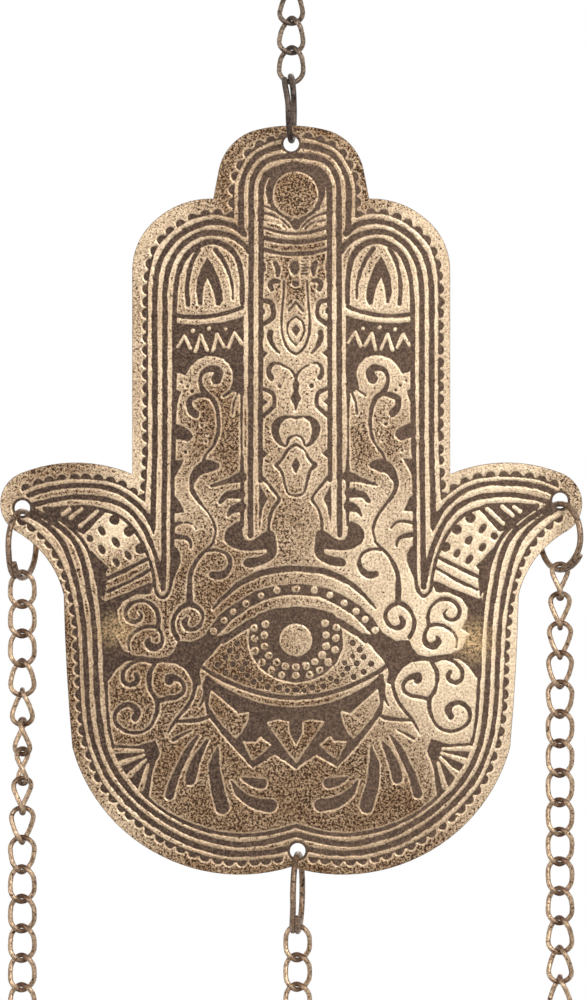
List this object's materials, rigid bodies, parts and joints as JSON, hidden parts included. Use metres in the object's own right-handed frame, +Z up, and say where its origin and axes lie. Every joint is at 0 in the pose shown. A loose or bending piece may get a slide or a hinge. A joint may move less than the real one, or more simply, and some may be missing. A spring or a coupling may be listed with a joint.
{
  "type": "hamsa hand ornament",
  "caption": "Flat etched brass hand with an eye in its palm, hung from its middle finger by a twisted link chain and ring, with more link chains hanging from both thumbs and the wrist.",
  "frame": {"origin": "inside top of the hanging ring, where the hook bears", "axes": "+Z up along the hanging chain, -Y out of the etched face, +X to the viewer's right"},
  "size_m": [0.1164, 0.0164, 0.2199],
  "materials": {
    "etched_brass": "etched, with dark patina",
    "ring_wire": "darkened wire",
    "chain_wire": "worn wire"
  },
  "bodies": {
    "hanging_ring": {"hanging_ring": "ring_wire"},
    "top_link_01": {"top_link_01": "chain_wire"},
    "top_link_02": {"top_link_02": "chain_wire"},
    "top_link_03": {"top_link_03": "chain_wire"},
    "top_ring": {"top_ring": "ring_wire"},
    "hand_plate": {"hand_plate": "etched_brass"},
    "left_ring": {"left_ring": "ring_wire"},
    "left_link_01": {"left_link_01": "chain_wire"},
    "left_link_02": {"left_link_02": "chain_wire"},
    "left_link_03": {"left_link_03": "chain_wire"},
    "left_link_04": {"left_link_04": "chain_wire"},
    "left_link_05": {"left_link_05": "chain_wire"},
    "left_link_06": {"left_link_06": "chain_wire"},
    "left_link_07": {"left_link_07": "chain_wire"},
    "left_link_08": {"left_link_08": "chain_wire"},
    "left_link_09": {"left_link_09": "chain_wire"},
    "left_link_10": {"left_link_10": "chain_wire"},
    "left_link_11": {"left_link_11": "chain_wire"},
    "left_link_12": {"left_link_12": "chain_wire"},
    "left_link_13": {"left_link_13": "chain_wire"},
    "left_link_14": {"left_link_14": "chain_wire"},
    "left_link_15": {"left_link_15": "chain_wire"},
    "right_ring": {"right_ring": "ring_wire"},
    "right_link_01": {"right_link_01": "chain_wire"},
    "right_link_02": {"right_link_02": "chain_wire"},
    "right_link_03": {"right_link_03": "chain_wire"},
    "right_link_04": {"right_link_04": "chain_wire"},
    "right_link_05": {"right_link_05": "chain_wire"},
    "right_link_06": {"right_link_06": "chain_wire"},
    "right_link_07": {"right_link_07": "chain_wire"},
    "right_link_08": {"right_link_08": "chain_wire"},
    "right_link_09": {"right_link_09": "chain_wire"},
    "right_link_10": {"right_link_10": "chain_wire"},
    "right_link_11": {"right_link_11": "chain_wire"},
    "right_link_12": {"right_link_12": "chain_wire"},
    "right_link_13": {"right_link_13": "chain_wire"},
    "right_link_14": {"right_link_14": "chain_wire"},
    "right_link_15": {"right_link_15": "chain_wire"},
    "bottom_ring": {"bottom_ring": "ring_wire"},
    "bottom_link_01": {"bottom_link_01": "chain_wire"},
    "bottom_link_02": {"bottom_link_02": "chain_wire"},
    "bottom_link_03": {"bottom_link_03": "chain_wire"}
  },
  "joints": [
    {"name": "top_link_01_swing", "type": "hinge", "parent": "hanging_ring", "child": "top_link_01", "pos_m": [0, 0, -0.0132], "axis": [1, 0, 0], "range_deg": [-40, 40]},
    {"name": "top_link_02_swing", "type": "hinge", "parent": "top_link_01", "child": "top_link_02", "pos_m": [0, 0, -0.0179], "axis": [0.4384, -0.8988, 0], "range_deg": [-40, 40]},
    {"name": "top_link_03_swing", "type": "hinge", "parent": "top_link_02", "child": "top_link_03", "pos_m": [0, 0, -0.0249], "axis": [0.9397, 0.342, 0], "range_deg": [-40, 40]},
    {"name": "top_ring_swing", "type": "hinge", "parent": "top_link_03", "child": "top_ring", "pos_m": [0, 0, -0.0308], "axis": [0.866, 0.5, 0], "range_deg": [-35, 35]},
    {"name": "hand_plate_swing", "type": "hinge", "parent": "top_ring", "child": "hand_plate", "pos_m": [0, 0, -0.0424], "axis": [0.1045, 0.9945, 0], "range_deg": [-35, 35]},
    {"name": "left_ring_swing", "type": "hinge", "parent": "hand_plate", "child": "left_ring", "pos_m": [-0.0538, 0, -0.1175], "axis": [1, 0, 0], "range_deg": [-35, 35]},
    {"name": "left_link_01_swing", "type": "hinge", "parent": "left_ring", "child": "left_link_01", "pos_m": [-0.0538, 0, -0.1287], "axis": [0.7431, -0.6691, 0], "range_deg": [-40, 40]},
    {"name": "left_link_02_swing", "type": "hinge", "parent": "left_link_01", "child": "left_link_02", "pos_m": [-0.0538, 0, -0.1357], "axis": [0.7431, 0.6691, 0], "range_deg": [-40, 40]},
    {"name": "left_link_03_swing", "type": "hinge", "parent": "left_link_02", "child": "left_link_03", "pos_m": [-0.0538, 0, -0.1405], "axis": [-0.7431, 0.6691, 0], "range_deg": [-40, 40]},
    {"name": "left_link_04_swing", "type": "hinge", "parent": "left_link_03", "child": "left_link_04", "pos_m": [-0.0538, 0, -0.1475], "axis": [-0.7431, -0.6691, 0], "range_deg": [-40, 40]},
    {"name": "left_link_05_swing", "type": "hinge", "parent": "left_link_04", "child": "left_link_05", "pos_m": [-0.0538, 0, -0.1534], "axis": [0.9426, 0.3338, 0], "range_deg": [-40, 40]},
    {"name": "left_link_06_swing", "type": "hinge", "parent": "left_link_05", "child": "left_link_06", "pos_m": [-0.0538, 0, -0.1593], "axis": [0.9986, -0.0523, 0], "range_deg": [-40, 40]},
    {"name": "left_link_07_swing", "type": "hinge", "parent": "left_link_06", "child": "left_link_07", "pos_m": [-0.0538, 0, -0.1641], "axis": [-0.6691, -0.7431, 0], "range_deg": [-40, 40]},
    {"name": "left_link_08_swing", "type": "hinge", "parent": "left_link_07", "child": "left_link_08", "pos_m": [-0.0538, 0, -0.1711], "axis": [-0.6691, 0.7431, 0], "range_deg": [-40, 40]},
    {"name": "left_link_09_swing", "type": "hinge", "parent": "left_link_08", "child": "left_link_09", "pos_m": [-0.0538, 0, -0.1759], "axis": [0.9986, 0.0523, 0], "range_deg": [-40, 40]},
    {"name": "left_link_10_swing", "type": "hinge", "parent": "left_link_09", "child": "left_link_10", "pos_m": [-0.0538, 0, -0.1818], "axis": [0.9426, -0.3338, 0], "range_deg": [-40, 40]},
    {"name": "left_link_11_swing", "type": "hinge", "parent": "left_link_10", "child": "left_link_11", "pos_m": [-0.0538, 0, -0.1877], "axis": [-0.7431, 0.6691, 0], "range_deg": [-40, 40]},
    {"name": "left_link_12_swing", "type": "hinge", "parent": "left_link_11", "child": "left_link_12", "pos_m": [-0.0538, 0, -0.1947], "axis": [-0.7431, -0.6691, 0], "range_deg": [-40, 40]},
    {"name": "left_link_13_swing", "type": "hinge", "parent": "left_link_12", "child": "left_link_13", "pos_m": [-0.0538, 0, -0.1995], "axis": [0.7431, -0.6691, 0], "range_deg": [-40, 40]},
    {"name": "left_link_14_swing", "type": "hinge", "parent": "left_link_13", "child": "left_link_14", "pos_m": [-0.0538, 0, -0.2065], "axis": [0.7431, 0.6691, 0], "range_deg": [-40, 40]},
    {"name": "left_link_15_swing", "type": "hinge", "parent": "left_link_14", "child": "left_link_15", "pos_m": [-0.0538, 0, -0.2113], "axis": [-0.7431, 0.6691, 0], "range_deg": [-40, 40]},
    {"name": "right_ring_swing", "type": "hinge", "parent": "hand_plate", "child": "right_ring", "pos_m": [0.0538, 0, -0.116], "axis": [1, 0, 0], "range_deg": [-25, 25]},
    {"name": "right_link_01_swing", "type": "hinge", "parent": "right_ring", "child": "right_link_01", "pos_m": [0.0538, 0, -0.1271], "axis": [0.9205, 0.3907, 0], "range_deg": [-40, 40]},
    {"name": "right_link_02_swing", "type": "hinge", "parent": "right_link_01", "child": "right_link_02", "pos_m": [0.0538, 0, -0.133], "axis": [0.9848, 0.1736, 0], "range_deg": [-40, 40]},
    {"name": "right_link_03_swing", "type": "hinge", "parent": "right_link_02", "child": "right_link_03", "pos_m": [0.0538, 0, -0.1389], "axis": [-0.9986, 0.0523, 0], "range_deg": [-40, 40]},
    {"name": "right_link_04_swing", "type": "hinge", "parent": "right_link_03", "child": "right_link_04", "pos_m": [0.0538, 0, -0.1448], "axis": [-0.9613, 0.2756, 0], "range_deg": [-40, 40]},
    {"name": "right_link_05_swing", "type": "hinge", "parent": "right_link_04", "child": "right_link_05", "pos_m": [0.0538, 0, -0.1507], "axis": [0.8746, -0.4848, 0], "range_deg": [-40, 40]},
    {"name": "right_link_06_swing", "type": "hinge", "parent": "right_link_05", "child": "right_link_06", "pos_m": [0.0538, 0, -0.1577], "axis": [0.5736, 0.8192, 0], "range_deg": [-40, 40]},
    {"name": "right_link_07_swing", "type": "hinge", "parent": "right_link_06", "child": "right_link_07", "pos_m": [0.0538, 0, -0.1625], "axis": [-0.7431, 0.6691, 0], "range_deg": [-40, 40]},
    {"name": "right_link_08_swing", "type": "hinge", "parent": "right_link_07", "child": "right_link_08", "pos_m": [0.0538, 0, -0.1695], "axis": [-0.7431, -0.6691, 0], "range_deg": [-40, 40]},
    {"name": "right_link_09_swing", "type": "hinge", "parent": "right_link_08", "child": "right_link_09", "pos_m": [0.0538, 0, -0.1743], "axis": [0.7431, -0.6691, 0], "range_deg": [-40, 40]},
    {"name": "right_link_10_swing", "type": "hinge", "parent": "right_link_09", "child": "right_link_10", "pos_m": [0.0538, 0, -0.1813], "axis": [0.7431, 0.6691, 0], "range_deg": [-40, 40]},
    {"name": "right_link_11_swing", "type": "hinge", "parent": "right_link_10", "child": "right_link_11", "pos_m": [0.0538, 0, -0.1861], "axis": [-0.7431, 0.6691, 0], "range_deg": [-40, 40]},
    {"name": "right_link_12_swing", "type": "hinge", "parent": "right_link_11", "child": "right_link_12", "pos_m": [0.0538, 0, -0.1931], "axis": [-0.7431, -0.6691, 0], "range_deg": [-40, 40]},
    {"name": "right_link_13_swing", "type": "hinge", "parent": "right_link_12", "child": "right_link_13", "pos_m": [0.0538, 0, -0.199], "axis": [0.8746, 0.4848, 0], "range_deg": [-40, 40]},
    {"name": "right_link_14_swing", "type": "hinge", "parent": "right_link_13", "child": "right_link_14", "pos_m": [0.0538, 0, -0.2049], "axis": [0.9613, 0.2756, 0], "range_deg": [-40, 40]},
    {"name": "right_link_15_swing", "type": "hinge", "parent": "right_link_14", "child": "right_link_15", "pos_m": [0.0538, 0, -0.2108], "axis": [-0.9986, -0.0523, 0], "range_deg": [-40, 40]},
    {"name": "bottom_ring_swing", "type": "hinge", "parent": "hand_plate", "child": "bottom_ring", "pos_m": [0.0013, 0, -0.1861], "axis": [1, 0, 0], "range_deg": [-35, 35]},
    {"name": "bottom_link_01_swing", "type": "hinge", "parent": "bottom_ring", "child": "bottom_link_01", "pos_m": [0.0013, 0, -0.2006], "axis": [0.1219, 0.9925, 0], "range_deg": [-40, 40]},
    {"name": "bottom_link_02_swing", "type": "hinge", "parent": "bottom_link_01", "child": "bottom_link_02", "pos_m": [0.0013, 0, -0.2053], "axis": [0.7431, -0.6691, 0], "range_deg": [-40, 40]},
    {"name": "bottom_link_03_swing", "type": "hinge", "parent": "bottom_link_02", "child": "bottom_link_03", "pos_m": [0.0013, 0, -0.2123], "axis": [-0.7431, -0.6691, 0], "range_deg": [-40, 40]}
  ]
}
